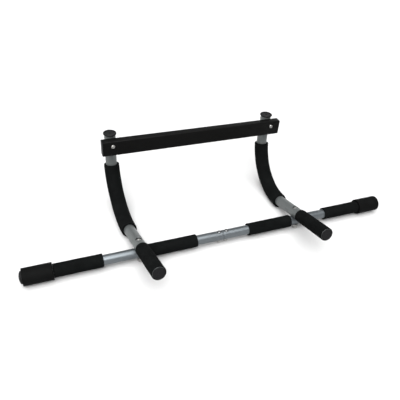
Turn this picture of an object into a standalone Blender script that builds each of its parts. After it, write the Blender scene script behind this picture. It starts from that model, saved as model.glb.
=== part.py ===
"""Doorway pull up bar: a padded cross tube in two halves, two bent arms bolted over it,
and a rectangular crossbar bolted to the front of the arms' posts.

Run with: blender --background --python part.py

Metres, +Z up. X runs along the main bar, the two short forward grips point to -Y, and
the posts stand upright at the back. The origin is under the middle of the object, on the
surface that the ends of its arm bolts and the bends of its arms stand on.
"""
import math

import bmesh
import bpy
from mathutils import Matrix

# ---- driving dimensions ---------------------------------------------------------------

BAR_LENGTH = 0.9566  # over the domed end plugs
BAR_RADIUS = 0.0122
ARM_RADIUS = 0.0142
TUBE_WALL = 0.002

# spans along the bar, measured outwards from its middle
INNER_GRIP = (0.070, 0.1922)
OUTER_GRIP = (0.2975, 0.4067)
END_SLEEVE = (0.4070, 0.4716)
JOINER_REACH = 0.060  # each way from the middle

# Each arm has its own plane, which holds the axis of the bolt that fastens it to the bar.
# In that plane the arm runs straight at right angles to the bolt, then bends up to its post.
ARM_X = 0.211  # from the middle of the bar to the arm bolt
ARM_SPLAY = math.radians(2.05)  # the arms spread a little towards the back
ARM_SLOPE = math.radians(15.8)  # the straight run rises towards its forward end
ARM_OFFSET = 0.0216  # between the centre lines of the arm and the bar
FORWARD_REACH = 0.1411  # from the bolt to the arm's forward end
BEND_RADIUS = 0.1274
POST_BEHIND_BAR = 0.242  # between the centre lines, in the arm's plane
POST_RISE = 0.1823  # upper end of the post's tube above the bar's centre line

# spans along the arm, measured back from its forward end
FORWARD_PAD = (0.0, 0.1166)
CURVED_PAD = (0.2245, 0.4285)

BAR_PAD_RADIUS = 0.0158
FORWARD_PAD_RADIUS = 0.0166
CURVED_PAD_RADIUS = 0.0194
SLEEVE_RADIUS = 0.020

CROSSBAR_LENGTH = 0.492
CROSSBAR_DEPTH = 0.020
CROSSBAR_HEIGHT = 0.040
CROSSBAR_RISE = 0.1406  # its lower face above the bar's centre line
CROSSBAR_CORNER = 0.003
CROSSBAR_WALL = 0.0015
CROSSBAR_PLUG_PLATE = 0.002
CROSSBAR_PLUG_TONGUE = 0.012

# bolts as (shank radius, head radius, head height), nuts as (across flats, height)
M8_BOLT = (0.0040, 0.0066, 0.0032)
M6_BOLT = (0.0030, 0.0051, 0.0028)
M8_NUT = (0.0130, 0.0080)
M6_NUT = (0.0100, 0.0060)
M8_WASHER_RADIUS = 0.0080
M6_WASHER_RADIUS = 0.0062
WASHER_THICKNESS = 0.0014
BOLT_END = 0.002  # what stands out of each nut
CLEARANCE = 0.0004  # around a bolt in its hole
BUSH_RADIUS = 0.0074
BUSH_TOP = 0.0308  # from the bar's centre line, where the arm bolt's head sits
CENTRE_BOLT_X = 0.0095  # each side of the joint in the main bar
CROSSBAR_BOLT_LIFT = 0.006  # above the crossbar's middle

END_DOME = (0.0150, 0.0062)  # radius and height
PLUG_STEM = 0.012  # how far each plug reaches into its tube
GRIP_PLUG = (0.0140, 0.0022)
CAP_FLANGE = (0.0166, 0.0053)

GAP = 0.0003  # left between pieces that touch
SEAM_GAP = 0.0006  # between the two halves of the main bar
THROUGH_BAR = (-0.03, 0.03)
TURNED_STEPS = 24
HOLE_STEPS = 12
TUBE_RESOLUTION = 8
BEND_STEPS = 12
SMOOTH_ANGLE = math.radians(35)

# ---- derived places -------------------------------------------------------------------

TIP_DEPTH = BAR_RADIUS + WASHER_THICKNESS + M8_NUT[1] + BOLT_END + 2 * GAP
BAR_Z = TIP_DEPTH * math.cos(ARM_SLOPE) + M8_BOLT[0] * math.sin(ARM_SLOPE)
POST_X = ARM_X + POST_BEHIND_BAR * math.sin(ARM_SPLAY)
POST_BEHIND = POST_BEHIND_BAR * math.cos(ARM_SPLAY)
CROSSBAR_BACK = POST_BEHIND - ARM_RADIUS - GAP
CROSSBAR_FRONT = CROSSBAR_BACK - CROSSBAR_DEPTH
CROSSBAR_BOLT_RISE = CROSSBAR_RISE + CROSSBAR_HEIGHT / 2 + CROSSBAR_BOLT_LIFT
# along Y, how far the object reaches ahead of the bar's centre line and behind it
REACH_AHEAD = (
    (FORWARD_REACH + GRIP_PLUG[1]) * math.cos(ARM_SLOPE)
    - (ARM_OFFSET - GRIP_PLUG[0]) * math.sin(ARM_SLOPE)
) * math.cos(ARM_SPLAY)
REACH_BEHIND = POST_BEHIND + ARM_RADIUS + WASHER_THICKNESS + M6_NUT[1] + BOLT_END + 2 * GAP
BAR_Y = (REACH_AHEAD - REACH_BEHIND) / 2

# the arm's straight run ends where a bend of BEND_RADIUS leads into an upright post
BEND_ANGLE = math.pi / 2 + ARM_SLOPE
BEND_START = (
    POST_BEHIND_BAR
    - BEND_RADIUS * (1 + math.sin(ARM_SLOPE))
    - ARM_OFFSET * math.sin(ARM_SLOPE)
) / math.cos(ARM_SLOPE)

SIDES = {"left": -1, "right": 1}
MIDDLE = Matrix.Translation((0, BAR_Y, BAR_Z))


# ---- scene and materials --------------------------------------------------------------

def clear_scene():
    for old in list(bpy.data.objects):
        bpy.data.objects.remove(old)


def add_collection(name):
    group = bpy.data.collections.new(name)
    bpy.context.scene.collection.children.link(group)
    return group


def add_material(name, colour, metallic, roughness):
    made = bpy.data.materials.new(name)
    made.use_nodes = True
    shader = made.node_tree.nodes["Principled BSDF"]
    shader.inputs["Base Color"].default_value = (*colour, 1)
    shader.inputs["Metallic"].default_value = metallic
    shader.inputs["Roughness"].default_value = roughness
    made.diffuse_color = (*colour, 1)
    return made


# ---- shape helpers --------------------------------------------------------------------

def add_object(name, data, place, group):
    made = bpy.data.objects.new(name, data)
    group.objects.link(made)
    made.matrix_world = place
    return made


def as_mesh(source):
    """Replace a curve or a turned profile with its mesh, its seams and caps welded."""
    bpy.context.view_layer.update()
    name, place, group = source.name, source.matrix_world.copy(), source.users_collection[0]
    depsgraph = bpy.context.evaluated_depsgraph_get()
    mesh = bpy.data.meshes.new_from_object(source.evaluated_get(depsgraph))
    bpy.data.objects.remove(source)
    weld = bmesh.new()
    weld.from_mesh(mesh)
    bmesh.ops.remove_doubles(weld, verts=weld.verts, dist=0.00001)
    weld.to_mesh(mesh)
    weld.free()
    mesh.shade_smooth()
    mesh.set_sharp_from_angle(angle=SMOOTH_ANGLE)
    return add_object(name, mesh, place, group)


def turned(name, profile, place, group, steps=TURNED_STEPS):
    """Turn (radius, height) points about the local Z axis, listed outer side downwards."""
    on_axis = min(radius for radius, _ in profile) == 0
    count = len(profile)
    edges = [(i, (i + 1) % count) for i in range(count - 1 if on_axis else count)]
    mesh = bpy.data.meshes.new(name)
    mesh.from_pydata([(radius, 0, height) for radius, height in profile], edges, [])
    made = add_object(name, mesh, place, group)
    screw = made.modifiers.new("turn", "SCREW")
    screw.steps = screw.render_steps = steps
    screw.use_merge_vertices = True
    screw.merge_threshold = 0.00001
    return as_mesh(made)


def ring(name, inner, outer, span, place, group):
    """A plain tube about the local Z axis between two heights."""
    low, high = span
    return turned(name, [(outer, high), (outer, low), (inner, low), (inner, high)], place, group)


def rod(name, radius, span, place, group, steps=TURNED_STEPS):
    low, high = span
    return turned(name, [(0, high), (radius, high), (radius, low), (0, low)], place, group, steps)


def arc(centre, radius, start, end, steps):
    """Points on a circle from one angle to another."""
    angles = [start + (end - start) * i / steps for i in range(steps + 1)]
    return [(centre[0] + radius * math.cos(a), centre[1] + radius * math.sin(a)) for a in angles]


def bent_rod(name, points, radius, place, group):
    """A round rod along a polyline."""
    curve = bpy.data.curves.new(name, "CURVE")
    curve.dimensions = "3D"
    curve.bevel_depth = radius
    curve.bevel_resolution = TUBE_RESOLUTION
    curve.use_fill_caps = True
    spline = curve.splines.new("POLY")
    spline.points.add(len(points) - 1)
    for point, (y, z) in zip(spline.points, points):
        point.co = (0, y, z, 1)
    return as_mesh(add_object(name, curve, place, group))


def rounded_rectangle(width, height, corner):
    """Corner points, anticlockwise, each corner an arc of three runs."""
    x, y = width / 2 - corner, height / 2 - corner
    centres = ((x, y), (-x, y), (-x, -y), (x, -y))
    quarter = math.pi / 2
    points = []
    for i, centre in enumerate(centres):
        points += arc(centre, corner, i * quarter, (i + 1) * quarter, 3)
    return points


def extruded(name, outline, thickness, place, group):
    """Extrude a flat outline along the local Z axis, half each way."""
    curve = bpy.data.curves.new(name, "CURVE")
    curve.dimensions = "2D"
    curve.fill_mode = "BOTH"
    curve.extrude = thickness / 2
    spline = curve.splines.new("POLY")
    spline.points.add(len(outline) - 1)
    spline.use_cyclic_u = True
    for point, (x, y) in zip(spline.points, outline):
        point.co = (x, y, 0, 1)
    return as_mesh(add_object(name, curve, place, group))


def hexagon(name, across_flats, span, place, group):
    """A hexagonal prism about the local Z axis."""
    low, high = span
    mesh = bpy.data.meshes.new(name)
    prism = bmesh.new()
    corner_radius = across_flats / math.sqrt(3)
    bmesh.ops.create_cone(
        prism, cap_ends=True, segments=6, radius1=corner_radius, radius2=corner_radius,
        depth=high - low, matrix=Matrix.Translation((0, 0, (low + high) / 2)),
    )
    prism.to_mesh(mesh)
    prism.free()
    return add_object(name, mesh, place, group)


def combine(target, other, operation="DIFFERENCE"):
    """Cut the target with another object, or join or intersect the two."""
    other.hide_render = True
    other.display_type = "WIRE"
    change = target.modifiers.new(other.name, "BOOLEAN")
    change.operation = operation
    change.object = other


def drill(target, hole, radius, span, place):
    """Bore a round hole along the local Z axis of a place."""
    combine(target, rod(f"{target.name}_{hole}", radius, span, place, cutters, HOLE_STEPS))


def finish(made, material):
    made.data.materials.clear()
    made.data.materials.append(material)


# ---- places ---------------------------------------------------------------------------

def outwards(side):
    """Local Z runs out along the bar from its middle."""
    return MIDDLE @ Matrix.Rotation(side * math.pi / 2, 4, "Y")


def arm_plane(side):
    """Local Z runs up the arm bolt's axis, and the arm's straight run is along local Y."""
    crossing = MIDDLE @ Matrix.Translation((side * ARM_X, 0, 0))
    return crossing @ Matrix.Rotation(-side * ARM_SPLAY, 4, "Z") @ Matrix.Rotation(-ARM_SLOPE, 4, "X")


def arm_path():
    """Centre line of the arm in its plane, from the forward end to the top of the post."""
    bend_centre = (BEND_START, ARM_OFFSET + BEND_RADIUS)
    bend = arc(bend_centre, BEND_RADIUS, -math.pi / 2, BEND_ANGLE - math.pi / 2, BEND_STEPS)
    last_y, last_z = bend[-1]
    bend_top = last_z * math.cos(ARM_SLOPE) - last_y * math.sin(ARM_SLOPE)
    post = POST_RISE - bend_top
    top = (last_y + post * math.cos(BEND_ANGLE), last_z + post * math.sin(BEND_ANGLE))
    return [(-FORWARD_REACH, ARM_OFFSET), *bend, top]


def stretch(path, start, end):
    """The part of a polyline between two distances along it."""
    points = []
    walked = 0.0
    for (y0, z0), (y1, z1) in zip(path, path[1:]):
        run = math.hypot(y1 - y0, z1 - z0)
        for mark in (start, end):
            if walked <= mark < walked + run:
                share = (mark - walked) / run
                points.append((y0 + (y1 - y0) * share, z0 + (z1 - z0) * share))
        walked += run
        if start < walked < end:
            points.append((y1, z1))
    return points


def lengthened(path, extra):
    """The same polyline with both ends carried on, for boring right through a tube."""
    (ya, za), (yb, zb) = path[:2]
    (yc, zc), (yd, zd) = path[-2:]
    first, last = math.hypot(yb - ya, zb - za), math.hypot(yd - yc, zd - zc)
    start = (ya - (yb - ya) * extra / first, za - (zb - za) * extra / first)
    end = (yd + (yd - yc) * extra / last, zd + (zd - zc) * extra / last)
    return [start, *path[1:-1], end]


def post_top(side):
    """Local Z runs up the post from the end of its tube."""
    place = (side * POST_X, POST_BEHIND, POST_RISE)
    return MIDDLE @ Matrix.Translation(place)


def crossbar_bolt_place(side):
    """Local Z points forwards, out of the crossbar's front face."""
    place = (side * POST_X, CROSSBAR_FRONT, CROSSBAR_BOLT_RISE)
    return MIDDLE @ Matrix.Translation(place) @ Matrix.Rotation(math.pi / 2, 4, "X")


def centre_bolt_place(side):
    return MIDDLE @ Matrix.Translation((side * CENTRE_BOLT_X, 0, 0))


# ---- fasteners ------------------------------------------------------------------------

def make_bolt(name, size, seat, tip, place):
    """A button head bolt with a hexagonal socket, its head on one height and its end at another."""
    shank, head, rise = size
    chamfer = shank / 5
    crown = [(head * x, seat + rise * z) for x, z in arc((0, 0), 1, math.radians(65), 0, 4)]
    bolt = turned(
        name,
        [(0, crown[0][1]), *crown, (shank, seat), (shank, tip + chamfer),
         (shank - chamfer, tip), (0, tip)],
        place, parts, HOLE_STEPS,
    )
    socket = hexagon(name + "_socket", shank * 1.2, (seat + rise / 3, seat + rise * 2), place, cutters)
    combine(bolt, socket)
    finish(bolt, zinc)


def make_nut(name, size, bore, top, place):
    """A hexagonal nut below the given height, its corners turned down at both ends."""
    flats, height = size
    corner = flats / math.sqrt(3)
    bevel = (corner - flats / 2) / 2
    bottom = top - height
    nut = hexagon(name, flats, (bottom, top), place, parts)
    blank = turned(
        name + "_blank",
        [(0, top + GAP), (flats / 2, top + GAP), (flats / 2, top), (corner, top - bevel),
         (corner, bottom + bevel), (flats / 2, bottom), (flats / 2, bottom - GAP), (0, bottom - GAP)],
        place, cutters,
    )
    combine(nut, blank, "INTERSECT")
    drill(nut, "thread", bore + GAP, (bottom - height, top + height), place)
    finish(nut, zinc)


def make_washer(name, radius, bore, top, place):
    washer = ring(name, bore + GAP, radius, (top - WASHER_THICKNESS, top), place, parts)
    finish(washer, zinc)


# ---- main bar -------------------------------------------------------------------------

def make_bar_half(name, side):
    span = (SEAM_GAP / 2, END_SLEEVE[1] - GAP)
    half = ring(f"main_bar_{name}", BAR_RADIUS - TUBE_WALL, BAR_RADIUS, span, outwards(side), parts)
    drill(half, "arm_hole", M8_BOLT[0] + CLEARANCE, THROUGH_BAR, arm_plane(side))
    drill(half, "centre_hole", M6_BOLT[0] + CLEARANCE, THROUGH_BAR, centre_bolt_place(side))
    finish(half, silver_paint)


def make_joiner():
    """The inner tube that the two halves slide onto."""
    outer = BAR_RADIUS - TUBE_WALL - GAP
    joiner = ring("joiner_tube", outer - TUBE_WALL, outer, (-JOINER_REACH, JOINER_REACH), outwards(1), parts)
    for name, side in SIDES.items():
        drill(joiner, f"{name}_hole", M6_BOLT[0] + CLEARANCE, THROUGH_BAR, centre_bolt_place(side))
    finish(joiner, zinc)


def make_centre_fastener(name, side):
    place = centre_bolt_place(side)
    nut_top = -BAR_RADIUS - GAP
    tip = nut_top - M6_NUT[1] - BOLT_END
    make_bolt(f"centre_bolt_{name}", M6_BOLT, BAR_RADIUS + GAP, tip, place)
    make_nut(f"centre_nut_{name}", M6_NUT, M6_BOLT[0], nut_top, place)


def make_bar_padding(name, side):
    place = outwards(side)
    bore = BAR_RADIUS + GAP
    finish(ring(f"inner_grip_{name}", bore, BAR_PAD_RADIUS, INNER_GRIP, place, parts), foam)
    finish(ring(f"outer_grip_{name}", bore, BAR_PAD_RADIUS, OUTER_GRIP, place, parts), foam)
    finish(ring(f"end_sleeve_{name}", bore, SLEEVE_RADIUS, END_SLEEVE, place, parts), rubber)


def make_end_plug(name, side):
    """A domed plug that closes the end of the bar and its sleeve."""
    radius, rise = END_DOME
    base = END_SLEEVE[1] + GAP
    stem = BAR_RADIUS - TUBE_WALL - GAP
    edge = BAR_LENGTH / 2 - rise
    dome = [(radius * x, edge + rise * z) for x, z in arc((0, 0), 1, math.pi / 2, 0, 5)]
    dome[0] = (0, BAR_LENGTH / 2)
    profile = [*dome, (radius, base), (stem, base), (stem, base - PLUG_STEM), (0, base - PLUG_STEM)]
    finish(turned(f"end_plug_{name}", profile, outwards(side), parts), plastic)


# ---- arms -----------------------------------------------------------------------------

def saddle(name, side):
    """The space that the main bar takes where an arm's pieces sit over it."""
    reach = 3 * ARM_RADIUS
    span = (ARM_X - reach, ARM_X + reach)
    return rod(name, BAR_RADIUS + GAP, span, outwards(side), cutters)


def make_arm(name, side):
    plane = arm_plane(side)
    path = arm_path()
    arm = bent_rod(f"arm_{name}", path, ARM_RADIUS, plane, parts)
    drill(arm, "bush_hole", BUSH_RADIUS + GAP, (0, 3 * ARM_OFFSET), plane)
    combine(arm, saddle(f"arm_{name}_saddle", side))
    through_post = (-CROSSBAR_DEPTH - 3 * ARM_RADIUS, CROSSBAR_DEPTH)
    drill(arm, "post_hole", M6_BOLT[0] + CLEARANCE, through_post, crossbar_bolt_place(side))
    bore_path = lengthened(path, ARM_RADIUS)
    combine(arm, bent_rod(f"arm_{name}_bore", bore_path, ARM_RADIUS - TUBE_WALL, plane, cutters))
    finish(arm, grey_paint)


def make_arm_fastener(name, side):
    """The bolt that holds an arm down on the bar, on a bush that keeps the tube from crushing."""
    plane = arm_plane(side)
    shank = M8_BOLT[0]
    bush = ring(f"arm_bush_{name}", shank + CLEARANCE, BUSH_RADIUS, (0, BUSH_TOP), plane, parts)
    combine(bush, saddle(f"arm_bush_{name}_saddle", side))
    finish(bush, zinc)
    washer_top = -BAR_RADIUS - GAP
    nut_top = washer_top - WASHER_THICKNESS - GAP
    make_bolt(f"arm_bolt_{name}", M8_BOLT, BUSH_TOP + GAP, -TIP_DEPTH, plane)
    make_washer(f"arm_washer_{name}", M8_WASHER_RADIUS, shank, washer_top, plane)
    make_nut(f"arm_nut_{name}", M8_NUT, shank, nut_top, plane)


def make_arm_padding(name, side):
    plane = arm_plane(side)
    path = arm_path()
    for pad_name, span, radius in (
        ("forward_grip", FORWARD_PAD, FORWARD_PAD_RADIUS),
        ("curved_pad", CURVED_PAD, CURVED_PAD_RADIUS),
    ):
        route = stretch(path, *span)
        pad = bent_rod(f"{pad_name}_{name}", route, radius, plane, parts)
        bore_route = lengthened(route, radius)
        combine(pad, bent_rod(f"{pad_name}_{name}_bore", bore_route, ARM_RADIUS + GAP, plane, cutters))
        if pad_name == "forward_grip":
            combine(pad, saddle(f"{pad_name}_{name}_saddle", side))
        finish(pad, foam)


def make_grip_plug(name, side):
    """A flat plug in the forward end of the arm."""
    radius, rise = GRIP_PLUG
    stem = ARM_RADIUS - TUBE_WALL - GAP
    forward_end = Matrix.Translation((0, -FORWARD_REACH, ARM_OFFSET)) @ Matrix.Rotation(math.pi / 2, 4, "X")
    bevel = rise / 3
    profile = [(0, rise), (radius - bevel, rise), (radius, rise - bevel), (radius, GAP),
               (stem, GAP), (stem, -PLUG_STEM), (0, -PLUG_STEM)]
    finish(turned(f"grip_plug_{name}", profile, arm_plane(side) @ forward_end, parts), plastic)


def make_post_cap(name, side):
    """A mushroom cap with a dished top and a small hollow in the middle of the dish."""
    radius, rise = CAP_FLANGE
    stem = ARM_RADIUS - TUBE_WALL - GAP
    rim = radius * 0.8
    profile = [
        (0, rise * 0.45), (radius * 0.12, rise * 0.45), (radius * 0.18, rise * 0.8),
        (rim, rise * 0.8), (rim + rise * 0.2, rise), (radius - rise * 0.2, rise),
        (radius, rise * 0.75), (radius, rise * 0.5), (ARM_RADIUS, GAP),
        (stem, GAP), (stem, -PLUG_STEM), (0, -PLUG_STEM),
    ]
    finish(turned(f"post_cap_{name}", profile, post_top(side), parts), plastic)


# ---- crossbar -------------------------------------------------------------------------

def crossbar_section(inset):
    corner = CROSSBAR_CORNER - inset / 2
    return rounded_rectangle(CROSSBAR_HEIGHT - 2 * inset, CROSSBAR_DEPTH - 2 * inset, corner)


def crossbar_place(along):
    """Local Z runs along the crossbar, local X down its height and local Y through its depth."""
    middle_y = CROSSBAR_FRONT + CROSSBAR_DEPTH / 2
    middle_z = CROSSBAR_RISE + CROSSBAR_HEIGHT / 2
    centre = MIDDLE @ Matrix.Translation((along, middle_y, middle_z))
    return centre @ Matrix.Rotation(math.pi / 2, 4, "Y")


def make_crossbar():
    length = CROSSBAR_LENGTH - 2 * (CROSSBAR_PLUG_PLATE + GAP)
    crossbar = extruded("crossbar", crossbar_section(0), length, crossbar_place(0), parts)
    through = (-2 * CROSSBAR_DEPTH, CROSSBAR_DEPTH)
    for name, side in SIDES.items():
        drill(crossbar, f"{name}_hole", M6_BOLT[0] + CLEARANCE, through, crossbar_bolt_place(side))
    hollow = crossbar_section(CROSSBAR_WALL)
    combine(crossbar, extruded("crossbar_hollow", hollow, CROSSBAR_LENGTH, crossbar_place(0), cutters))
    finish(crossbar, black_paint)


def make_crossbar_plug(name, side):
    """A plate flush with the tube's outside, on a tongue that fits inside the tube."""
    plate_middle = side * (CROSSBAR_LENGTH - CROSSBAR_PLUG_PLATE) / 2
    tongue_middle = plate_middle - side * CROSSBAR_PLUG_TONGUE / 2
    plug = extruded(
        f"crossbar_plug_{name}", crossbar_section(0), CROSSBAR_PLUG_PLATE,
        crossbar_place(plate_middle), parts,
    )
    tongue = extruded(
        f"crossbar_plug_{name}_tongue", crossbar_section(CROSSBAR_WALL + GAP),
        CROSSBAR_PLUG_TONGUE, crossbar_place(tongue_middle), cutters,
    )
    combine(plug, tongue, "UNION")
    finish(plug, plastic)


def make_crossbar_fastener(name, side):
    place = crossbar_bolt_place(side)
    shank = M6_BOLT[0]
    post_back = CROSSBAR_FRONT - POST_BEHIND - ARM_RADIUS
    washer_top = post_back - GAP
    nut_top = washer_top - WASHER_THICKNESS - GAP
    make_bolt(f"crossbar_bolt_{name}", M6_BOLT, GAP, nut_top - M6_NUT[1] - BOLT_END, place)
    make_washer(f"crossbar_washer_{name}", M6_WASHER_RADIUS, shank, washer_top, place)
    make_nut(f"crossbar_nut_{name}", M6_NUT, shank, nut_top, place)


# ---- the object -----------------------------------------------------------------------

clear_scene()
parts = add_collection("pull_up_bar")
cutters = add_collection("cutters")

silver_paint = add_material("silver_paint", (0.56, 0.59, 0.62), 0.7, 0.4)
grey_paint = add_material("grey_paint", (0.30, 0.31, 0.32), 0.6, 0.45)
black_paint = add_material("black_paint", (0.015, 0.015, 0.014), 0.0, 0.4)
foam = add_material("foam", (0.018, 0.019, 0.019), 0.0, 0.85)
rubber = add_material("rubber", (0.014, 0.014, 0.015), 0.0, 0.7)
plastic = add_material("plastic", (0.02, 0.02, 0.021), 0.0, 0.5)
zinc = add_material("zinc", (0.6, 0.6, 0.58), 1.0, 0.35)

make_joiner()
make_crossbar()
for side_name, side_sign in SIDES.items():
    make_bar_half(side_name, side_sign)
    make_centre_fastener(side_name, side_sign)
    make_bar_padding(side_name, side_sign)
    make_end_plug(side_name, side_sign)
    make_arm(side_name, side_sign)
    make_arm_fastener(side_name, side_sign)
    make_arm_padding(side_name, side_sign)
    make_grip_plug(side_name, side_sign)
    make_post_cap(side_name, side_sign)
    make_crossbar_plug(side_name, side_sign)
    make_crossbar_fastener(side_name, side_sign)
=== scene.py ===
"""Looks of a doorway pull up bar: painted steel tubes, foam grips and pads, plugs and fasteners.

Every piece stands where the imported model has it. Metres, +Z up.
"""
import math

import bmesh
import bpy
from mathutils import Matrix, Vector, noise


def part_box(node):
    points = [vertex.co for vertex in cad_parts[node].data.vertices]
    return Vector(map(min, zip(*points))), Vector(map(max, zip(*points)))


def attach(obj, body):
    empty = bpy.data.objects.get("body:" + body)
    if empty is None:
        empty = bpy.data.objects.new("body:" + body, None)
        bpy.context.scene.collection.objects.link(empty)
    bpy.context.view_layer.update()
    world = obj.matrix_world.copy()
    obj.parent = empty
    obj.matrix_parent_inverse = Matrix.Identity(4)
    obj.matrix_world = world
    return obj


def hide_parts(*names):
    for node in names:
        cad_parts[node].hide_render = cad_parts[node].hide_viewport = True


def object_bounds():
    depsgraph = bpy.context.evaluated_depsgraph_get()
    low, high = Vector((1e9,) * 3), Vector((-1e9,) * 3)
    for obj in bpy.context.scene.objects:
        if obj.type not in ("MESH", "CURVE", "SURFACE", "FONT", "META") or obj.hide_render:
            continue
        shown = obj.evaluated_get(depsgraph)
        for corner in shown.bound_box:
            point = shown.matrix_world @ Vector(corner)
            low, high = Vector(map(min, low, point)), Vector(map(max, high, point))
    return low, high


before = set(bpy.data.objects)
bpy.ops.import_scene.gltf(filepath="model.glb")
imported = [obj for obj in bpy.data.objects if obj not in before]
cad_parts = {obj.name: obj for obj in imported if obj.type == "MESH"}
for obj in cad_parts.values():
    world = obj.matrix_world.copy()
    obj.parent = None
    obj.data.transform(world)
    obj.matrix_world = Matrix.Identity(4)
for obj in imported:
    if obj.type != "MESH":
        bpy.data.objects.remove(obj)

cad_low, cad_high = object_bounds()

# ---- dimensions, as in the model ------------------------------------------------------

SIDES = {"left": -1, "right": 1}
TURN = 2 * math.pi


def span_along_bar(node):
    """How far from the middle of the bar a node on its right half starts and ends."""
    low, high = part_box(node)
    return low.x, high.x


def radius_on_bar(node):
    low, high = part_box(node)
    return (high.z - low.z) / 2


bar_low, bar_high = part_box("main_bar_right")
MIDDLE = Matrix.Translation((0, (bar_low.y + bar_high.y) / 2, (bar_low.z + bar_high.z) / 2))
BAR_RADIUS = radius_on_bar("main_bar_right")
TUBE_WALL = 0.002

ARM_RADIUS = 0.0142
ARM_X = 0.211  # from the middle of the bar to the arm bolt
ARM_SPLAY = math.radians(2.05)
ARM_SLOPE = math.radians(15.8)
ARM_OFFSET = 0.0216  # between the centre lines of the arm and the bar
FORWARD_REACH = 0.1411  # from the bolt to the arm's forward end
BEND_RADIUS = 0.1274
BEND_ANGLE = math.pi / 2 + ARM_SLOPE
POST_BEHIND_BAR = 0.242
BEND_START = (
    POST_BEHIND_BAR
    - BEND_RADIUS * (1 + math.sin(ARM_SLOPE))
    - ARM_OFFSET * math.sin(ARM_SLOPE)
) / math.cos(ARM_SLOPE)
FORWARD_PAD = (0.0, 0.1166)  # spans back from the forward end
CURVED_PAD = (0.2245, 0.4285)
FORWARD_PAD_RADIUS = 0.0166
CURVED_PAD_RADIUS = 0.0194

# bolts as (shank radius, head radius, head height, pitch), nuts as (across flats, height)
M8_BOLT = (0.0040, 0.0066, 0.0032, 0.00125)
M6_BOLT = (0.0030, 0.0051, 0.0028, 0.0010)
M8_NUT = (0.0130, 0.0080)
M6_NUT = (0.0100, 0.0060)
M8_WASHER_RADIUS = 0.0080
M6_WASHER_RADIUS = 0.0062
WASHER_THICKNESS = 0.0014
BOLT_END = 0.002  # what stands out of each nut
BUSH_RADIUS = 0.0074
BUSH_TOP = 0.0308  # from the bar's centre line, where the arm bolt's head sits
CENTRE_BOLT_X = 0.0095
GAP = 0.0003  # left between pieces that touch
PLUG_STEM = 0.012  # how far a plug reaches into its tube
GRIP_PLUG = (0.0140, 0.0022)  # radius and height
THREAD_LENGTH = 0.014
RINGS_PER_TURN = 8  # of the thread
TIP_SHARE = 0.72  # of the shank's radius, left at the bolt's chamfered end

FINE_STEPS = 96  # points round a tube or a pad
NUT_STEPS = 72
SMALL_STEPS = 48
CORNER_STEPS = 8  # round each corner of the crossbar's section
SMOOTH_ANGLE = math.radians(32)
RING_SPACING = 0.003
FORWARD_SPACING = 0.0025
CURVED_SPACING = 0.0022
BUSH_SPACING = 0.002
WELD_DISTANCE = 1e-7
EASE = 0.0004  # on the cut ends of tubes and stems
FINE_EASE = 0.0002  # on small turned edges


# ---- profiles: closed outlines of (distance along, radius) points ----------------------

def eased(corners, steps=4):
    """Round the corners of a closed outline. Each corner is (distance, radius, rounding)."""
    points = []
    for i, (s, r, rounding) in enumerate(corners):
        corner = Vector((s, r))
        if not rounding:
            points.append((s, r))
            continue
        before = Vector(corners[i - 1][:2]) - corner
        after = Vector(corners[(i + 1) % len(corners)][:2]) - corner
        start = corner + before.normalized() * rounding
        end = corner + after.normalized() * rounding
        for k in range(steps + 1):
            t = k / steps
            point = start * (1 - t) ** 2 + corner * 2 * t * (1 - t) + end * t ** 2
            points.append((point.x, point.y))
    return points


def spaced(profile, spacing=RING_SPACING):
    """Add points to a closed outline, so that none of its runs is longer than the spacing."""
    points = []
    for i, (s, r) in enumerate(profile):
        points.append((s, r))
        next_s, next_r = profile[(i + 1) % len(profile)]
        count = int(math.hypot(next_s - s, next_r - r) / spacing)
        for k in range(1, count + 1):
            share = k / (count + 1)
            points.append((s + (next_s - s) * share, r + (next_r - r) * share))
    return points


def sleeve_profile(start, end, inner, outer, rounding):
    """A tube's wall, its outer edges rounded and its inner edges eased."""
    wall_share = 0.2
    inside = min(rounding / 2, (outer - inner) * wall_share)
    return eased([
        (start, inner, inside), (start, outer, rounding),
        (end, outer, rounding), (end, inner, inside),
    ])


def arc(centre, sizes, first, last, steps):
    """Points on an ellipse round a (distance, radius) centre, from one angle to another. At no
    angle the point is straight out from the axis."""
    points = []
    for k in range(steps + 1):
        angle = first + (last - first) * k / steps
        points.append((centre[0] + sizes[0] * math.sin(angle), centre[1] + sizes[1] * math.cos(angle)))
    return points


# ---- skins: rings of points round a centre line -----------------------------------------

def straight_line(distance):
    """The local Z axis as a centre line: centre, and the two directions across it."""
    return Vector((0, 0, distance)), Vector((1, 0, 0)), Vector((0, 1, 0))


def arm_line(distance):
    """The arm's centre line in its plane, by distance from its forward end."""
    straight = FORWARD_REACH + BEND_START
    turned = min(max(distance - straight, 0) / BEND_RADIUS, BEND_ANGLE)
    run = min(distance, straight) - FORWARD_REACH
    beyond = max(distance - straight - BEND_RADIUS * turned, 0)
    y = run + BEND_RADIUS * math.sin(turned) + beyond * math.cos(turned)
    z = ARM_OFFSET + BEND_RADIUS * (1 - math.cos(turned)) + beyond * math.sin(turned)
    return Vector((0, y, z)), Vector((1, 0, 0)), Vector((0, -math.sin(turned), math.cos(turned)))


def arm_length(side):
    """From the forward end to the top of the post, which reaches the cap's lower face."""
    cap_low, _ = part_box(f"post_cap_{side}")
    post_top = cap_low.z + PLUG_STEM - MIDDLE.translation.z
    bend_end = FORWARD_REACH + BEND_START + BEND_RADIUS * BEND_ANGLE
    centre, _, _ = arm_line(bend_end)
    return bend_end + post_top - (centre.z * math.cos(ARM_SLOPE) - centre.y * math.sin(ARM_SLOPE))


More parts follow.
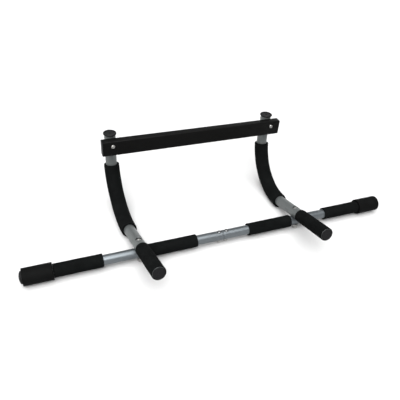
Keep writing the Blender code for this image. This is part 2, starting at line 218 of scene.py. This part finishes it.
def skin(name, profile, place, line=straight_line, steps=FINE_STEPS, shaped=None, closed=True):
    """A smooth mesh of rings along a line. A ring's radius is a number or a function of the angle,
    and shaped changes each point, given it with its distance and angle. Rings of no radius close
    to a pole, and an outline that isn't closed starts and ends at one."""
    made = bmesh.new()
    rings = []
    for distance, radius in profile:
        centre, across, up = line(distance)
        ring = []
        for k in range(steps):
            angle = TURN * k / steps
            reach = radius(angle) if callable(radius) else radius
            point = centre + across * reach * math.cos(angle) + up * reach * math.sin(angle)
            if shaped:
                point = shaped(point, distance, angle)
            ring.append(made.verts.new(point))
        rings.append(ring)
    pairs = list(zip(rings, rings[1:] + rings[:1])) if closed else list(zip(rings, rings[1:]))
    for ring, following in pairs:
        for k in range(steps):
            j = (k + 1) % steps
            made.faces.new((ring[k], ring[j], following[j], following[k]))
    bmesh.ops.remove_doubles(made, verts=made.verts, dist=WELD_DISTANCE)
    bmesh.ops.transform(made, matrix=place, verts=made.verts)
    return as_piece(name, made)


def as_piece(name, made):
    """Turn finished mesh code into an object, shaded smooth up to its sharp edges."""
    bmesh.ops.recalc_face_normals(made, faces=made.faces)
    mesh = bpy.data.meshes.new(name)
    made.to_mesh(mesh)
    made.free()
    mesh.shade_smooth()
    mesh.set_sharp_from_angle(angle=SMOOTH_ANGLE)
    piece = bpy.data.objects.new(name, mesh)
    bpy.context.scene.collection.objects.link(piece)
    return piece


def in_place(piece, node, material):
    """Give a piece its material, and let it stand for its node of the model."""
    piece.data.materials.append(material)
    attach(piece, "root")
    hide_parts(node)
    return piece


# ---- places -----------------------------------------------------------------------------

def outwards(side):
    """Local Z runs out along the bar from its middle."""
    return MIDDLE @ Matrix.Rotation(side * math.pi / 2, 4, "Y")


def arm_plane(side):
    """Local Z runs up the arm bolt's axis, and the arm's straight run is along local Y."""
    crossing = MIDDLE @ Matrix.Translation((side * ARM_X, 0, 0))
    return crossing @ Matrix.Rotation(-side * ARM_SPLAY, 4, "Z") @ Matrix.Rotation(-ARM_SLOPE, 4, "X")


def off_bar(place, clearance):
    """Moves a point in a place's own space out of the bar, straight away from the bar's axis."""
    inverse = place.inverted()
    axis = MIDDLE.translation

    def moved(point, distance, angle):
        world = place @ point
        away = Vector((0, world.y - axis.y, world.z - axis.z))
        short = BAR_RADIUS + clearance - away.length
        if short <= 0:
            return point
        return inverse @ (world + away.normalized() * short)

    return moved


# ---- materials --------------------------------------------------------------------------

def new_material(name, colour, metallic, roughness, slot=None):
    made = bpy.data.materials.new(f"fine_{name}")
    made["slot"] = slot or name
    made.use_nodes = True
    shader = made.node_tree.nodes["Principled BSDF"]
    shader.inputs["Base Color"].default_value = (*colour, 1)
    shader.inputs["Metallic"].default_value = metallic
    shader.inputs["Roughness"].default_value = roughness
    made.diffuse_color = (*colour, 1)
    return made, made.node_tree, shader


def noise_field(tree, scale, detail=3, stretch=(1, 1, 1)):
    """Noise over the piece's own metres: about one feature in each 1/scale of a metre."""
    place = tree.nodes.new("ShaderNodeTexCoord")
    stretched = tree.nodes.new("ShaderNodeMapping")
    stretched.inputs["Scale"].default_value = stretch
    field = tree.nodes.new("ShaderNodeTexNoise")
    field.inputs["Scale"].default_value = scale
    field.inputs["Detail"].default_value = detail
    tree.links.new(place.outputs["Object"], stretched.inputs["Vector"])
    tree.links.new(stretched.outputs["Vector"], field.inputs["Vector"])
    return field.outputs["Fac"]


def cell_field(tree, scale):
    """Distance from the nearest cell's middle, for foam's pores and metal's flakes."""
    place = tree.nodes.new("ShaderNodeTexCoord")
    field = tree.nodes.new("ShaderNodeTexVoronoi")
    field.inputs["Scale"].default_value = scale
    tree.links.new(place.outputs["Object"], field.inputs["Vector"])
    return field.outputs["Distance"]


def ranged(tree, field, source, target):
    """Map a field from one range to another, held at both ends."""
    change = tree.nodes.new("ShaderNodeMapRange")
    change.inputs["From Min"].default_value = source[0]
    change.inputs["From Max"].default_value = source[1]
    change.inputs["To Min"].default_value = target[0]
    change.inputs["To Max"].default_value = target[1]
    tree.links.new(field, change.inputs["Value"])
    return change.outputs["Result"]


def blended(tree, share, first, second):
    """A colour between two colours or colour outputs."""
    mix = tree.nodes.new("ShaderNodeMix")
    mix.data_type = "RGBA"
    tree.links.new(share, mix.inputs["Factor"])
    for socket, colour in ((mix.inputs["A"], first), (mix.inputs["B"], second)):
        if isinstance(colour, tuple):
            socket.default_value = (*colour, 1)
        else:
            tree.links.new(colour, socket)
    return mix.outputs["Result"]


def bumped(tree, shader, layers):
    """Stack bumps, each (height field, strength, height in metres)."""
    previous = None
    for field, strength, height in layers:
        bump = tree.nodes.new("ShaderNodeBump")
        bump.inputs["Strength"].default_value = strength
        bump.inputs["Distance"].default_value = height
        tree.links.new(field, bump.inputs["Height"])
        if previous:
            tree.links.new(previous, bump.inputs["Normal"])
        previous = bump.outputs["Normal"]
    tree.links.new(previous, shader.inputs["Normal"])


FLAKES = 2600  # across each metre of paint
FLAKE_SHADE, FLAKE_SHINE = 0.86, 1.12
SCUFF = 0.22  # how much rougher the dull scuffs are


def painted_metal(name, colour, metallic, roughness, gloss):
    """Powder coat: an even colour with fine flakes, a faint orange peel and a few dull scuffs."""
    made, tree, shader = new_material(name, colour, metallic, roughness)
    shader.inputs["Specular IOR Level"].default_value = gloss
    darker = tuple(c * FLAKE_SHADE for c in colour)
    lighter = tuple(min(c * FLAKE_SHINE, 1) for c in colour)
    patches = ranged(tree, noise_field(tree, scale=14, detail=4), (0.35, 0.65), (0, 1))
    flakes = ranged(tree, cell_field(tree, FLAKES), (0.1, 0.7), (0, 1))
    coat = blended(tree, patches, darker, colour)
    flaked = blended(tree, ranged(tree, flakes, (0.7, 1), (0, 0.5)), coat, lighter)
    tree.links.new(flaked, shader.inputs["Base Color"])
    scuffs = noise_field(tree, scale=60, detail=9)
    scuffed = ranged(tree, scuffs, (0.5, 0.72), (roughness, roughness + SCUFF))
    tree.links.new(scuffed, shader.inputs["Roughness"])
    bumped(tree, shader, [
        (noise_field(tree, scale=420, detail=2), 0.25, 0.00012),
        (cell_field(tree, FLAKES), 0.12, 0.00005),
    ])
    return made


FOAM_ROUGHNESS = 0.88
FOAM_GLOSS = 0.03
FOAM_CELLS = 1150  # across each metre


def soft_foam(name, colour):
    """Closed-cell foam rubber: a matt skin with fine cells and faint, dusty variation, and painted shade
    darkening the middle of each cell.
    """
    made, tree, shader = new_material(name, colour, 0, FOAM_ROUGHNESS)
    shader.inputs["Specular IOR Level"].default_value = FOAM_GLOSS
    dusty = tuple(c * 1.7 + 0.0005 for c in colour)
    pore_shade = tuple(c * 0.45 for c in colour)
    cells = cell_field(tree, FOAM_CELLS)
    mottle = ranged(tree, noise_field(tree, scale=38, detail=6), (0.38, 0.72), (0, 0.7))
    mottled = blended(tree, mottle, colour, dusty)
    # painted shade: the middle of each cell, where the bump dips, is darker
    pore_shaded = blended(tree, ranged(tree, cells, (0.05, 0.35), (1, 0)), mottled, pore_shade)
    tree.links.new(pore_shaded, shader.inputs["Base Color"])
    wear = ranged(tree, noise_field(tree, scale=120, detail=4), (0.3, 0.7), (0.8, 0.97))
    tree.links.new(wear, shader.inputs["Roughness"])
    bumped(tree, shader, [
        (noise_field(tree, scale=190, detail=5), 0.35, 0.0004),
        (cells, 0.6, 0.00035),
    ])
    return made


def moulded(name, colour, roughness, gloss, grain, depth):
    """Moulded rubber or plastic with an even, fine grain and slightly polished patches."""
    made, tree, shader = new_material(name, colour, 0, roughness)
    shader.inputs["Specular IOR Level"].default_value = gloss
    paler = tuple(c * 1.5 + 0.001 for c in colour)
    bloom = ranged(tree, noise_field(tree, scale=45, detail=5), (0.35, 0.7), (0, 0.6))
    tree.links.new(blended(tree, bloom, colour, paler), shader.inputs["Base Color"])
    polish = noise_field(tree, scale=90, detail=4)
    polished = ranged(tree, polish, (0.3, 0.7), (roughness - 0.08, roughness + 0.1))
    tree.links.new(polished, shader.inputs["Roughness"])
    bumped(tree, shader, [(noise_field(tree, scale=grain, detail=3), 0.4, depth)])
    return made


PLATE_ROUGHNESS = 0.3


def plated_steel(name, colour):
    """Zinc plate: slightly uneven, with fine turning marks."""
    made, tree, shader = new_material(name, colour, 1, PLATE_ROUGHNESS, "zinc")
    warmer = (colour[0], colour[1] * 0.985, colour[2] * 0.95)
    patches = ranged(tree, noise_field(tree, scale=160, detail=4), (0.35, 0.65), (0, 1))
    tree.links.new(blended(tree, patches, colour, warmer), shader.inputs["Base Color"])
    polish = ranged(tree, noise_field(tree, scale=300, detail=5), (0.3, 0.7), (0.2, 0.42))
    tree.links.new(polish, shader.inputs["Roughness"])
    turning = noise_field(tree, scale=260, detail=3, stretch=(1, 1, 14))
    bumped(tree, shader, [(turning, 0.2, 0.00006)])
    return made


# The colours are darker than the paint and plastic themselves, to suit this studio's bright light.
silver_paint = painted_metal(
    "silver_paint", (0.118, 0.131, 0.140), metallic=0.85, roughness=0.36, gloss=0.5
)
grey_paint = painted_metal(
    "grey_paint", (0.108, 0.117, 0.116), metallic=0.6, roughness=0.4, gloss=0.4
)
black_paint = painted_metal(
    "black_paint", (0.0019, 0.0019, 0.0018), metallic=0, roughness=0.5, gloss=0.06
)
foam = soft_foam("foam", (0.0023, 0.0026, 0.0026))
rubber = moulded(
    "rubber", (0.0019, 0.0020, 0.0020), roughness=0.66, gloss=0.035, grain=700, depth=0.0002
)
plastic = moulded(
    "plastic", (0.0042, 0.0042, 0.0046), roughness=0.45, gloss=0.09, grain=1400, depth=0.00008
)
zinc = plated_steel("zinc", (0.30, 0.30, 0.295))
zinc_painted_highlight = plated_steel("zinc_painted_highlight", (0.50, 0.50, 0.50))  # on the arm bolts: a lighter copy of the zinc, a painted highlight on their heads
zinc_painted_shade = plated_steel("zinc_painted_shade", (0.13, 0.135, 0.14))  # on the centre bolts: a darker copy of the zinc, painted shade on their upward heads


# ---- padding ----------------------------------------------------------------------------

FOAM_SWELL = 0.00022  # how far the foam's skin wanders in and out
FOAM_SWELL_SCALE = 32
CREASE_DEPTH = 0.00035
CREASE_SPACING = 0.0125
CREASE_START = 0.6  # how high the wave of folds rises before one shows
CREASE_DRIFT = 0.35  # how far folds wander, as a share of their spacing
CREASE_DRIFT_SCALE = 40
FOAM_EASE = 0.0011
SLEEVE_EASE = 0.0012
CURVED_EASE = 0.0013


def foam_skin(inner, seed, line=straight_line, creased=None, kept_off=None):
    """Shapes a sleeve of foam: uneven outside, creased on the inner side of its bend."""
    start, end = creased or (0, 0)

    def moved(point, distance, angle):
        centre, _, up = line(distance)
        out = point - centre
        if out.length > inner + GAP:
            sample = point * FOAM_SWELL_SCALE + Vector((seed, 0, 0))
            change = FOAM_SWELL * noise.noise(sample)
            if creased:
                inside = max(out.normalized().dot(up), 0) ** 2
                fade = math.sin(math.pi * min(max((distance - start) / (end - start), 0), 1))
                drift = noise.noise(Vector((distance * CREASE_DRIFT_SCALE, angle, seed)))
                wave = math.cos(TURN * (distance / CREASE_SPACING + drift * CREASE_DRIFT))
                fold = max(wave - CREASE_START, 0) / (1 - CREASE_START)
                change -= CREASE_DEPTH * inside * fade * fold
            point = point + out.normalized() * change
        return kept_off(point) if kept_off else point

    return moved


def make_bar_padding(name, side, seed):
    place = outwards(side)
    inner = BAR_RADIUS + GAP
    for part, material, rounding in (
        ("inner_grip", foam, FOAM_EASE),
        ("outer_grip", foam, FOAM_EASE),
        ("end_sleeve", rubber, SLEEVE_EASE),
    ):
        start, end = span_along_bar(f"{part}_right")
        profile = spaced(sleeve_profile(start, end, inner, radius_on_bar(f"{part}_right"), rounding))
        shaped = foam_skin(inner, seed) if material is foam else None
        piece = skin(f"{part}_{name}_skin", profile, place, shaped=shaped)
        in_place(piece, f"{part}_{name}", material)
        seed += 3


def ahead_of_bar(point):
    """Keeps the forward grip's end off the bar by moving it forwards along the arm."""
    reach = BAR_RADIUS + 2 * GAP
    if point.z >= reach or point.y < -reach:
        return point
    return Vector((point.x, min(point.y, -math.sqrt(reach ** 2 - point.z ** 2)), point.z))


def make_arm_padding(name, side, seed):
    plane = arm_plane(side)
    inner = ARM_RADIUS + GAP
    forward = spaced(sleeve_profile(*FORWARD_PAD, inner, FORWARD_PAD_RADIUS, FOAM_EASE), FORWARD_SPACING)
    grip = skin(f"forward_grip_{name}_skin", forward, plane, arm_line,
                shaped=foam_skin(inner, seed, arm_line, kept_off=ahead_of_bar))
    curved = spaced(sleeve_profile(*CURVED_PAD, inner, CURVED_PAD_RADIUS, CURVED_EASE), CURVED_SPACING)
    pad = skin(f"curved_pad_{name}_skin", curved, plane, arm_line,
               shaped=foam_skin(inner, seed + 5, arm_line, creased=CURVED_PAD))
    for piece, node in ((grip, "forward_grip"), (pad, "curved_pad")):
        in_place(piece, f"{node}_{name}", foam)


# ---- tubes ------------------------------------------------------------------------------

def make_bar_half(name, side):
    start, end = span_along_bar("main_bar_right")
    wall = sleeve_profile(start, end, BAR_RADIUS - TUBE_WALL, BAR_RADIUS, EASE)
    tube = skin(f"main_bar_{name}_tube", spaced(wall, 2 * RING_SPACING), outwards(side))
    in_place(tube, f"main_bar_{name}", silver_paint)


def make_arm(name, side):
    """The arm's tube, pressed into a saddle where it lies over the bar."""
    plane = arm_plane(side)
    profile = spaced(sleeve_profile(0, arm_length(name), ARM_RADIUS - TUBE_WALL, ARM_RADIUS, EASE))
    outer_seat = off_bar(plane, GAP)
    inner_seat = off_bar(plane, GAP + TUBE_WALL)

    def pressed(point, distance, angle):
        centre, _, _ = arm_line(distance)
        within = (point - centre).length < ARM_RADIUS - TUBE_WALL / 2
        return (inner_seat if within else outer_seat)(point, distance, angle)

    arm = skin(f"arm_{name}_tube", profile, plane, arm_line, shaped=pressed)
    bottom, top, reach = BAR_RADIUS, 3 * ARM_OFFSET, BUSH_RADIUS + GAP
    hole_profile = [(bottom, 0), (bottom, reach), (top, reach), (top, 0)]
    hole = skin(f"arm_{name}_hole", hole_profile, plane, steps=SMALL_STEPS, closed=False)
    cut = arm.modifiers.new("bolt_hole", "BOOLEAN")
    cut.operation = "DIFFERENCE"
    cut.object = hole
    apply_modifiers(arm)
    bpy.data.objects.remove(hole)
    in_place(arm, f"arm_{name}", grey_paint)


def apply_modifiers(piece):
    depsgraph = bpy.context.evaluated_depsgraph_get()
    mesh = bpy.data.meshes.new_from_object(piece.evaluated_get(depsgraph))
    piece.modifiers.clear()
    piece.data = mesh
    mesh.shade_smooth()
    mesh.set_sharp_from_angle(angle=SMOOTH_ANGLE)


# ---- fasteners --------------------------------------------------------------------------

def hexagon(flats):
    """The radius of a hexagon by angle."""
    sector = TURN / 6

    def reach(angle):
        return flats / 2 / math.cos(angle % sector - sector / 2)

    return reach


def make_bolt(name, size, seat, tip, place, material=zinc):
    """A button head with a hexagonal socket, a plain shank and a rolled thread at its end."""
    shank, head, rise, pitch = size
    socket = hexagon(shank * 1.2)
    socket_lip = shank * 0.82
    top = seat + rise
    crown = arc((seat, 0), (rise, head), math.radians(60), 0, 10)
    profile = [(top - rise * 0.66, 0), (top - rise * 0.6, socket), (top - rise * 0.2, socket)]
    profile += [(crown[0][0] - 0.00005, socket_lip), *crown]
    profile += [(seat + 0.0001, head), (seat, head - FINE_EASE), (seat, shank)]
    thread_start = tip + THREAD_LENGTH
    profile.append((thread_start, shank))
    count = int(THREAD_LENGTH / pitch * RINGS_PER_TURN)
    for k in range(1, count):
        height = thread_start - THREAD_LENGTH * k / count
        profile.append((height, thread(height, shank, pitch, tip)))
    profile += [(tip, shank * TIP_SHARE), (tip, 0)]
    in_place(skin(f"{name}_part", profile, place, steps=SMALL_STEPS, closed=False), name, material)


def thread(height, radius, pitch, tip):
    """The thread's radius by angle at one height, cut off by the chamfer at the bolt's end."""
    depth = pitch * 0.55
    flank = 1.4
    chamfer = radius * TIP_SHARE + (height - tip)

    def reach(angle):
        phase = (height / pitch + angle / TURN) % 1
        groove = min(abs(2 * phase - 1) * flank, 1)
        return min(radius - depth * groove, chamfer)

    return reach


def limited(flats, limit):
    """The radius of a hexagon by angle, its corners turned down to a limit."""
    side = hexagon(flats)

    def reach(angle):
        return min(side(angle), limit)

    return reach


def make_nut(name, size, bore, top, place):
    """A lock nut: hexagonal against its washer, with a round collar at its far end."""
    flats, height = size
    corner = flats / math.sqrt(3)
    face = flats / 2 * 0.97
    collar = flats / 2 * 0.93
    collar_height = height * 0.27
    chamfer = (corner - flats / 2) * 0.58
    bottom = top - height
    shoulder = bottom + collar_height
    hole = bore + 0.0001
    shares = [k / 4 for k in range(5)]
    outline = [(top, bore + 0.0005), (top, face)]
    for share in shares:
        turned = face + (corner - face) * share
        outline.append((top - share * chamfer, limited(flats, turned)))
    for share in reversed(shares):
        turned = collar + (corner - collar) * share
        outline.append((shoulder + share * chamfer, limited(flats, turned)))
    outline += eased([
        (shoulder, collar, FINE_EASE), (bottom, collar, collar_height * 0.45),
        (bottom, bore + 0.0009, FINE_EASE), (bottom + 0.0004, hole, 0),
    ])
    outline.append((top - 0.0005, hole))
    in_place(skin(f"{name}_part", outline, place, steps=NUT_STEPS), name, zinc)


def make_washer(name, radius, bore, top, place):
    bottom = top - WASHER_THICKNESS
    hole = bore + GAP
    hole_ease, lower_ease, upper_ease = 0.0001, 0.00045, 0.00025
    profile = eased([
        (bottom, hole, hole_ease), (bottom, radius, lower_ease),
        (top, radius, upper_ease), (top, hole, hole_ease),
    ])
    in_place(skin(f"{name}_part", profile, place), name, zinc)


def make_arm_fastener(name, side):
    plane = arm_plane(side)
    shank = M8_BOLT[0]
    hole = shank + GAP
    base = BAR_RADIUS * 0.9  # its lower end is then moved out of the bar
    hole_ease = 0.0003
    bush_profile = spaced(eased([
        (base, hole, 0), (base, BUSH_RADIUS, 0),
        (BUSH_TOP, BUSH_RADIUS, EASE), (BUSH_TOP, hole, hole_ease),
    ]), BUSH_SPACING)
    seated = off_bar(plane, GAP)
    bush = skin(f"arm_bush_{name}_part", bush_profile, plane, steps=SMALL_STEPS, shaped=seated)
    in_place(bush, f"arm_bush_{name}", zinc)
    washer_top = -BAR_RADIUS - GAP
    nut_top = washer_top - WASHER_THICKNESS - GAP
    tip = nut_top - M8_NUT[1] - BOLT_END
    # the arm bolt takes the lighter zinc, a painted highlight
    make_bolt(f"arm_bolt_{name}", M8_BOLT, BUSH_TOP + GAP, tip, plane, zinc_painted_highlight)
    make_washer(f"arm_washer_{name}", M8_WASHER_RADIUS, shank, washer_top, plane)
    make_nut(f"arm_nut_{name}", M8_NUT, shank, nut_top, plane)


def make_centre_fastener(name, side):
    place = MIDDLE @ Matrix.Translation((side * CENTRE_BOLT_X, 0, 0))
    nut_top = -BAR_RADIUS - GAP
    tip = nut_top - M6_NUT[1] - BOLT_END
    # the centre bolt takes the darker zinc, painted shade
    make_bolt(f"centre_bolt_{name}", M6_BOLT, BAR_RADIUS + GAP, tip, place, zinc_painted_shade)
    make_nut(f"centre_nut_{name}", M6_NUT, M6_BOLT[0], nut_top, place)


def make_crossbar_fastener(name, side):
    """The bolt through the crossbar and the post. Local Z points forwards."""
    head_low, head_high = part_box(f"crossbar_bolt_{name}")
    washer_low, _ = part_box(f"crossbar_washer_{name}")
    seat_y = head_low.y + M6_BOLT[2]
    centre = Vector(((head_low.x + head_high.x) / 2, seat_y, (head_low.z + head_high.z) / 2))
    place = Matrix.Translation(centre) @ Matrix.Rotation(math.pi / 2, 4, "X")
    washer_top = seat_y - washer_low.y
    nut_top = washer_top - WASHER_THICKNESS - GAP
    make_bolt(f"crossbar_bolt_{name}", M6_BOLT, 0, seat_y - head_high.y, place)
    make_washer(f"crossbar_washer_{name}", M6_WASHER_RADIUS, M6_BOLT[0], washer_top, place)
    make_nut(f"crossbar_nut_{name}", M6_NUT, M6_BOLT[0], nut_top, place)


# ---- plugs and caps ---------------------------------------------------------------------

def make_end_plug(name, side):
    """A domed plug with a fine lip where it meets the sleeve."""
    radius = radius_on_bar("end_plug_right")
    _, base = span_along_bar("end_sleeve_right")
    _, tip = span_along_bar("end_plug_right")
    base += GAP
    stem = BAR_RADIUS - TUBE_WALL - GAP
    lip = 0.0012
    rise = tip - base - lip
    profile = [(tip, 0), *arc((base + lip, 0), (rise, radius - EASE), math.pi / 2, 0, 16)[1:]]
    profile += [(base + lip, radius - FINE_EASE), (base + lip * 0.8, radius)]
    profile += [(base + FINE_EASE, radius), (base, radius - FINE_EASE), (base, stem)]
    profile += [(base - PLUG_STEM, stem - EASE), (base - PLUG_STEM, 0)]
    plug = skin(f"end_plug_{name}_part", profile, outwards(side), closed=False)
    in_place(plug, f"end_plug_{name}", plastic)


def make_grip_plug(name, side):
    """A low plug in the arm's forward end, dished, with a small moulded pip hole."""
    radius, rise = GRIP_PLUG
    stem = ARM_RADIUS - TUBE_WALL - GAP
    forward_end = arm_plane(side) @ Matrix.Translation((0, -FORWARD_REACH, ARM_OFFSET))
    place = forward_end @ Matrix.Rotation(math.pi / 2, 4, "X")
    bead_height, bead_width = 0.0008, 0.0012
    profile = [(rise * 0.1, 0), (rise * 0.1, 0.0016), (rise * 0.42, 0.0021), (rise * 0.5, 0.006)]
    bead = (rise - bead_height, radius - bead_width)
    profile += arc(bead, (bead_height, bead_width), math.pi, 0, 12)
    profile += [(GAP, radius), (GAP, stem), (-PLUG_STEM, stem - EASE), (-PLUG_STEM, 0)]
    plug = skin(f"grip_plug_{name}_part", profile, place, closed=False)
    in_place(plug, f"grip_plug_{name}", plastic)


def make_post_cap(name):
    """A mushroom cap with a rolled rim round a dished top."""
    low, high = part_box(f"post_cap_{name}")
    radius = (high.x - low.x) / 2
    rise = high.z - low.z - PLUG_STEM
    place = Matrix.Translation(((low.x + high.x) / 2, (low.y + high.y) / 2, low.z + PLUG_STEM))
    stem = ARM_RADIUS - TUBE_WALL - GAP
    roll = rise * 0.36
    collar = ARM_RADIUS + 0.0008
    profile = [(rise * 0.42, 0), (rise * 0.42, radius * 0.1), (rise * 0.72, radius * 0.17)]
    profile += [(rise * 0.74, radius * 0.5), (rise * 0.78, radius * 0.72)]
    profile += arc((rise - roll, radius - roll), (roll, roll), math.radians(150), math.radians(-30), 14)
    profile += [(rise * 0.25, collar), (GAP, ARM_RADIUS), (GAP, stem)]
    profile += [(-PLUG_STEM, stem - EASE), (-PLUG_STEM, 0)]
    cap = skin(f"post_cap_{name}_part", profile, place, closed=False)
    in_place(cap, f"post_cap_{name}", plastic)


# ---- crossbar ---------------------------------------------------------------------------

CROSSBAR_CORNER = 0.003
CROSSBAR_WALL = 0.0015
CROSSBAR_PLUG_EASE = 0.0006


def box_skin(name, low, high, corner, edge, wall=0):
    """A tube or plate of rounded rectangular section along X, its end edges eased."""
    made = bmesh.new()
    centre = (low + high) / 2
    size = high - low
    sections = []
    bevel = edge * 0.3
    stations = [(low.x, edge), (low.x + bevel, bevel), (low.x + edge, 0)]
    stations += [(high.x - edge, 0), (high.x - bevel, bevel), (high.x, edge)]
    if wall:
        stations += [(high.x, wall), (low.x, wall)]
    for x, inset in stations:
        ring = []
        reach = corner - inset
        for i, (sy, sz) in enumerate(((1, 1), (-1, 1), (-1, -1), (1, -1))):
            for k in range(CORNER_STEPS + 1):
                angle = math.pi / 2 * (i + k / CORNER_STEPS)
                y = centre.y + sy * (size.y / 2 - corner) + reach * math.cos(angle)
                z = centre.z + sz * (size.z / 2 - corner) + reach * math.sin(angle)
                ring.append(made.verts.new((x, y, z)))
        sections.append(ring)
    pairs = list(zip(sections, sections[1:]))
    if wall:
        pairs.append((sections[-1], sections[0]))
    else:
        made.faces.new(sections[0])
        made.faces.new(reversed(sections[-1]))
    count = len(sections[0])
    for ring, following in pairs:
        for k in range(count):
            j = (k + 1) % count
            made.faces.new((ring[k], ring[j], following[j], following[k]))
    return as_piece(name, made)


def make_crossbar():
    low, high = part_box("crossbar")
    tube = box_skin("crossbar_tube", low, high, CROSSBAR_CORNER, EASE, CROSSBAR_WALL)
    in_place(tube, "crossbar", black_paint)


def make_crossbar_plug(name, side):
    """The plug's plate, flush with the crossbar's outside."""
    low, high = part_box(f"crossbar_plug_{name}")
    bar_start, bar_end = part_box("crossbar")
    if side > 0:
        low.x = bar_end.x + GAP
    else:
        high.x = bar_start.x - GAP
    plate = box_skin(f"crossbar_plug_{name}_part", low, high, CROSSBAR_CORNER, CROSSBAR_PLUG_EASE)
    in_place(plate, f"crossbar_plug_{name}", plastic)


# ---- the object -------------------------------------------------------------------------

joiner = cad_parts["joiner_tube"]
joiner.data.materials.clear()
joiner.data.materials.append(zinc)
make_crossbar()
for side_name, side_sign in SIDES.items():
    side_seed = 10 + 20 * side_sign
    make_bar_half(side_name, side_sign)
    make_bar_padding(side_name, side_sign, side_seed)
    make_end_plug(side_name, side_sign)
    make_arm(side_name, side_sign)
    make_arm_padding(side_name, side_sign, side_seed + 7)
    make_grip_plug(side_name, side_sign)
    make_post_cap(side_name)
    make_arm_fastener(side_name, side_sign)
    make_centre_fastener(side_name, side_sign)
    make_crossbar_plug(side_name, side_sign)
    make_crossbar_fastener(side_name, side_sign)


# ---- studio -----------------------------------------------------------------------------

FLOOR_REACH = 30
FLOOR_DROP = 0.0002
FLOOR_GREY = (0.48, 0.48, 0.48)  # the lights are set so that it shows white


def make_floor():
    made = bmesh.new()
    bmesh.ops.create_grid(made, x_segments=1, y_segments=1, size=FLOOR_REACH)
    mesh = bpy.data.meshes.new("floor")
    made.to_mesh(mesh)
    made.free()
    floor = bpy.data.objects.new("floor", mesh)
    floor.location.z = cad_low.z - FLOOR_DROP
    bpy.context.scene.collection.objects.link(floor)
    sheet, _, _ = new_material("floor", FLOOR_GREY, metallic=0, roughness=0.9)
    mesh.materials.append(sheet)


def make_light(name, location, target, size, power):
    data = bpy.data.lights.new(name, "AREA")
    data.shape = "DISK"
    data.size = size
    data.energy = power
    light = bpy.data.objects.new(name, data)
    light.location = location
    light.rotation_mode = "QUATERNION"
    light.rotation_quaternion = (Vector(target) - Vector(location)).to_track_quat("-Z", "Y")
    bpy.context.scene.collection.objects.link(light)


def make_top_light(name, turn, softness, strength):
    """An even light from far above, which leaves the floor equally bright all over."""
    data = bpy.data.lights.new(name, "SUN")
    data.angle = softness
    data.energy = strength
    light = bpy.data.objects.new(name, data)
    light.rotation_euler = turn
    bpy.context.scene.collection.objects.link(light)


def make_world(at_horizon, overhead):
    """A white studio whose walls are brighter than its ceiling."""
    world = bpy.data.worlds.new("studio")
    world.use_nodes = True
    tree = world.node_tree
    background = tree.nodes["Background"]
    background.inputs["Color"].default_value = (1, 1, 1, 1)
    place = tree.nodes.new("ShaderNodeTexCoord")
    direction = tree.nodes.new("ShaderNodeSeparateXYZ")
    tree.links.new(place.outputs["Generated"], direction.inputs["Vector"])
    strength = ranged(tree, direction.outputs["Z"], (0.3, 0.6), (at_horizon, overhead))
    tree.links.new(strength, background.inputs["Strength"])
    bpy.context.scene.world = world


CAMERA_PLACE = MIDDLE.translation + Vector((-0.41295, -0.74645, 0.74675))
CAMERA_RIGHT = Vector((0.927867, -0.365626, 0.073348))
CAMERA_FORWARD = Vector((0.333098, 0.724187, -0.603820))
CAMERA_LENS = 40.77
SENSOR_WIDTH = 36


def make_camera():
    data = bpy.data.cameras.new("camera")
    data.sensor_width = SENSOR_WIDTH
    data.lens = CAMERA_LENS
    camera = bpy.data.objects.new("camera", data)
    up = CAMERA_RIGHT.cross(CAMERA_FORWARD)
    turned = Matrix((CAMERA_RIGHT, up, -CAMERA_FORWARD)).transposed()
    camera.matrix_world = Matrix.Translation(CAMERA_PLACE) @ turned.to_4x4()
    bpy.context.scene.collection.objects.link(camera)
    bpy.context.scene.camera = camera


make_floor()
make_world(at_horizon=1, overhead=0.3)
make_light("key", location=(-0.8, -1.5, 2.0), target=(0, 0, 0), size=1.6, power=50)
top_turn = (math.radians(12), math.radians(-10), 0)
make_top_light("overhead", top_turn, softness=math.radians(75), strength=5.4)
make_camera()
bpy.context.scene.view_settings.view_transform = "Standard"
